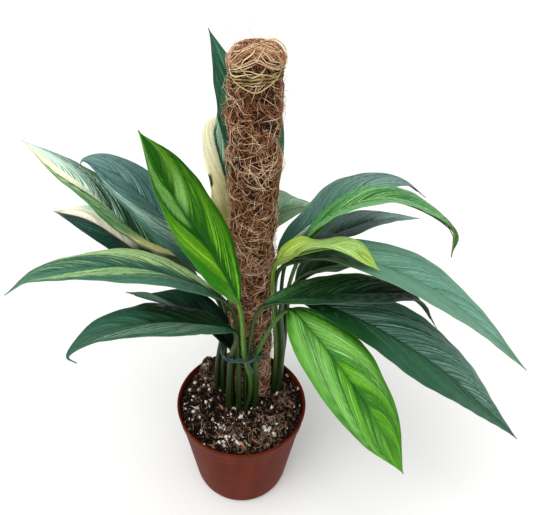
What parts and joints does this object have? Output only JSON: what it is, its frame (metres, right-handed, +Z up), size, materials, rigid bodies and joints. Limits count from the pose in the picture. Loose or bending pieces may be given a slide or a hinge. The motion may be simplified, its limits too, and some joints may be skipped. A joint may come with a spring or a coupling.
{
  "type": "potted climbing aroid on a coir pole",
  "caption": "Potted climbing aroid, sold as pothos, with long variegated leaves on a coir pole in a terracotta-coloured nursery pot.",
  "frame": {"origin": "centre of the pot's underside", "axes": "+Z up along the pot's axis, -Y towards the viewer of the picture, +X to that viewer's right"},
  "size_m": [0.4087, 0.2161, 0.403],
  "materials": {
    "terracotta_plastic": "satin",
    "potting_soil": "matte",
    "wooden_stake": "matte",
    "coir_fibre": "matte",
    "straw_twine": "matte",
    "blue_green_raffia": "matte",
    "leaf_green": "satin"
  },
  "bodies": {
    "root": {"pot": "terracotta_plastic", "soil": "potting_soil", "pole_core": "wooden_stake", "coir_sleeve": "coir_fibre", "pole_twine": "straw_twine", "shoot_tie": "blue_green_raffia", "tied_shoot": "leaf_green", "left_shoot": "leaf_green", "back_shoot": "leaf_green", "right_shoot": "leaf_green"}
  },
  "joints": []
}
